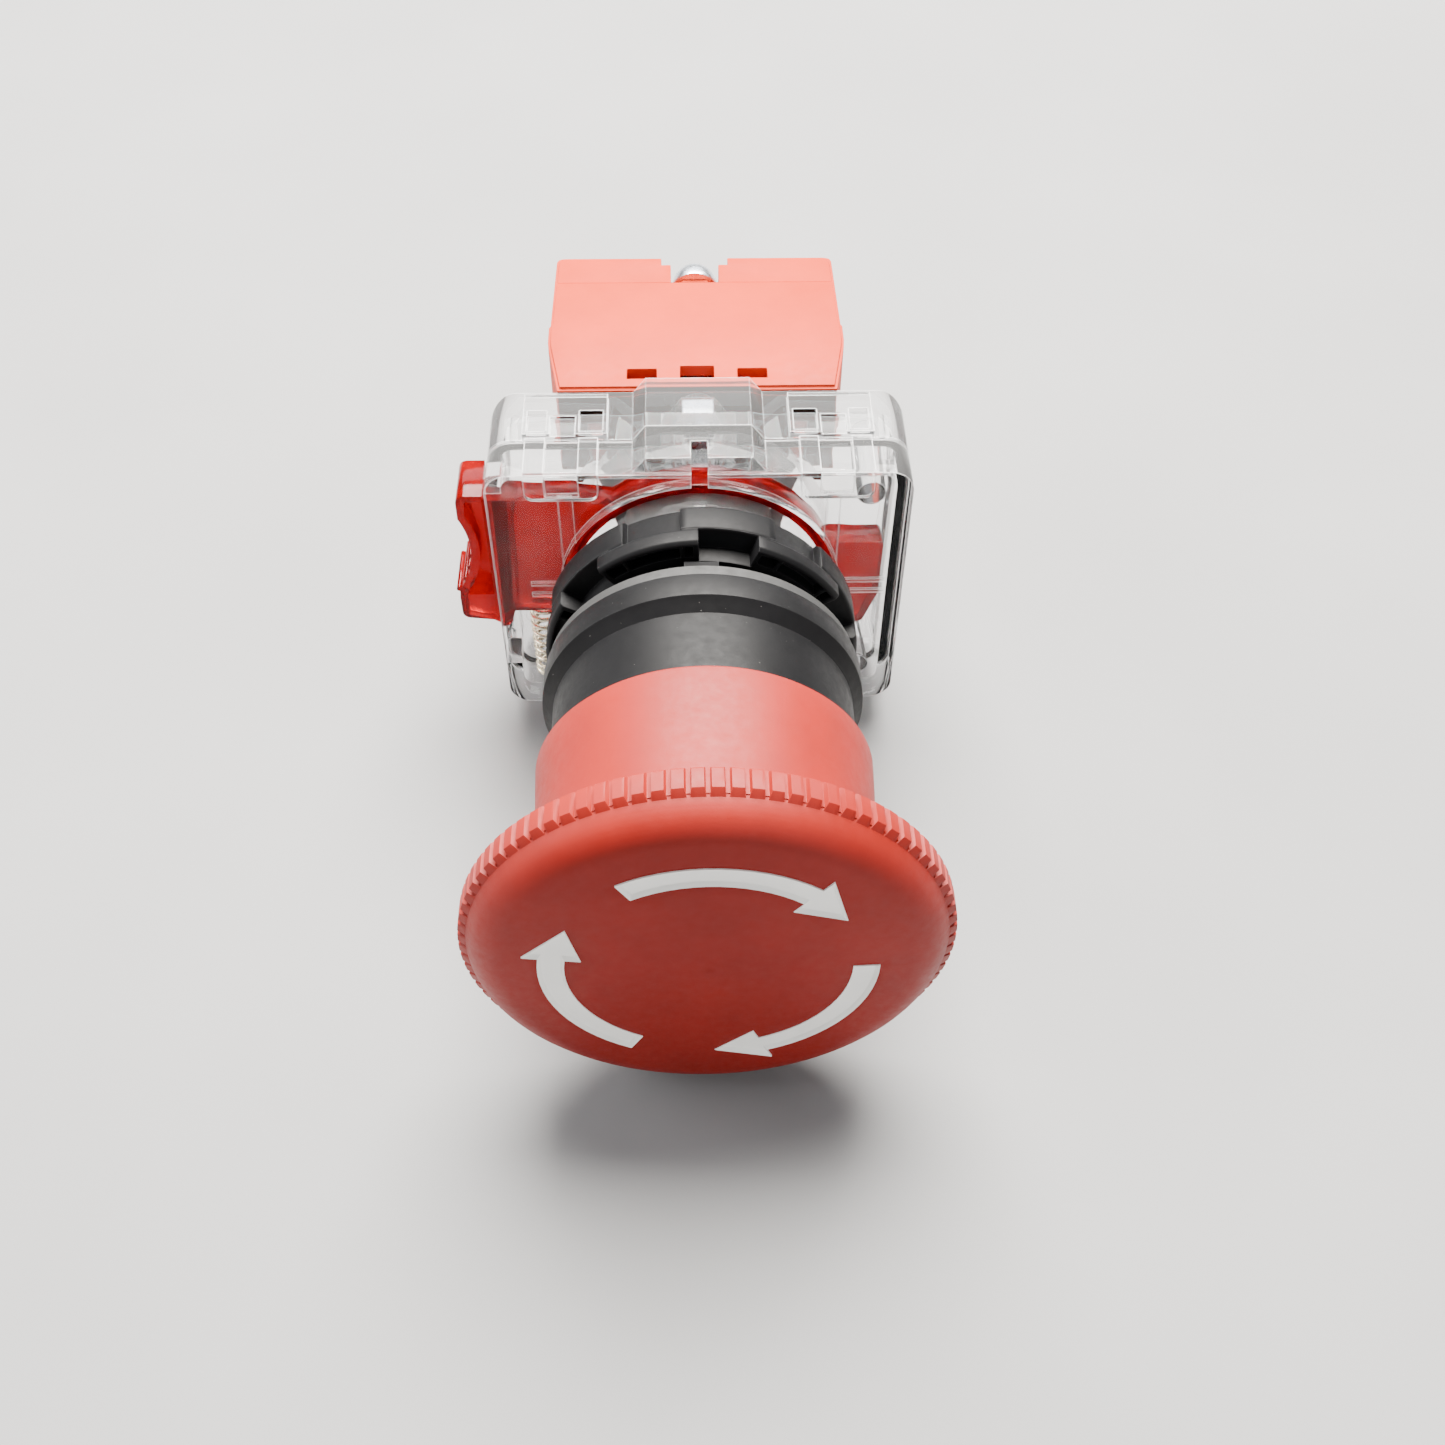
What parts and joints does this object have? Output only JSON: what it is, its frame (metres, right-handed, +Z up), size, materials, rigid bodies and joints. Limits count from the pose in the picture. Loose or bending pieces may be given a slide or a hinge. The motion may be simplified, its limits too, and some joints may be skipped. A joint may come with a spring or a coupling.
{
  "type": "emergency stop button",
  "caption": "Twist-release mushroom push button for a 22 mm panel hole, with lock nut, clear clamping base, locking lever and a normally closed contact block.",
  "frame": {"origin": "on the push axis, in the plane where the gasket meets the panel", "axes": "+Y into the panel along the push axis, the head faces -Y; +X to the right seen from the front; +Z up, towards the fitted contact block"},
  "size_m": [0.0434, 0.0768, 0.04],
  "materials": {
    "red_plastic": "fine matte moulded",
    "white_plastic": "satin fill",
    "natural_nylon": "satin",
    "black_plastic": "satin moulded",
    "black_rubber": "matte",
    "clear_plastic": "clear polycarbonate",
    "ruby_plastic": "translucent red polycarbonate",
    "coral_plastic": "fine matte moulded",
    "spring_steel": "drawn wire",
    "zinc_plate": "blue zinc plated",
    "copper_alloy": "stamped strip",
    "silver_alloy": "silver alloy",
    "brass": "stamped strip"
  },
  "bodies": {
    "operator": {"bezel_body": "black_plastic", "wiper_seal": "black_rubber", "panel_gasket": "black_rubber", "lock_nut": "black_plastic", "cam_sleeve": "black_plastic", "base_cover": "clear_plastic", "base_body": "clear_plastic", "clamp_nuts": "zinc_plate", "contact_housing": "coral_plastic", "contact_cover": "coral_plastic", "fixed_tips": "silver_alloy", "terminal_plates": "brass", "terminal_screws": "zinc_plate", "wire_clamps": "zinc_plate", "mounting_screw": "zinc_plate", "contact_spring": "spring_steel", "lever_spring": "spring_steel", "return_spring": "spring_steel"},
    "stem": {"push_stem": "natural_nylon", "snap_ring": "spring_steel", "latch_pin": "spring_steel", "actuator_plate": "natural_nylon", "torsion_spring": "spring_steel"},
    "head": {"mushroom_head": "red_plastic", "arrow_inlays": "white_plastic"},
    "lever": {"lock_lever": "ruby_plastic"},
    "contact_carrier": {"plunger": "natural_nylon", "contact_bridge": "copper_alloy", "bridge_tips": "silver_alloy"}
  },
  "joints": [
    {"name": "push", "type": "slide", "parent": "operator", "child": "stem", "axis": [0, 1, 0], "range_m": [0, 0.0055], "stiffness_N_per_m": 900, "deforming": ["return_spring"]},
    {"name": "twist", "type": "hinge", "parent": "stem", "child": "head", "pos_m": [0, 0, 0], "axis": [0, 1, 0], "range_deg": [0, 30], "stiffness_Nm_per_rad": 0.1, "deforming": ["torsion_spring"]},
    {"name": "lever_turn", "type": "hinge", "parent": "operator", "child": "lever", "pos_m": [0, 0, 0], "axis": [0, -1, 0], "range_deg": [0, 12], "stiffness_Nm_per_rad": 0.15, "deforming": ["lever_spring"]},
    {"name": "contact_slide", "type": "slide", "parent": "operator", "child": "contact_carrier", "axis": [0, 1, 0], "range_m": [0, 0.0055], "stiffness_N_per_m": 300, "deforming": ["contact_spring"]}
  ],
  "couplings": [
    {"joint": "contact_slide", "follows": "push", "ratio": 1}
  ]
}
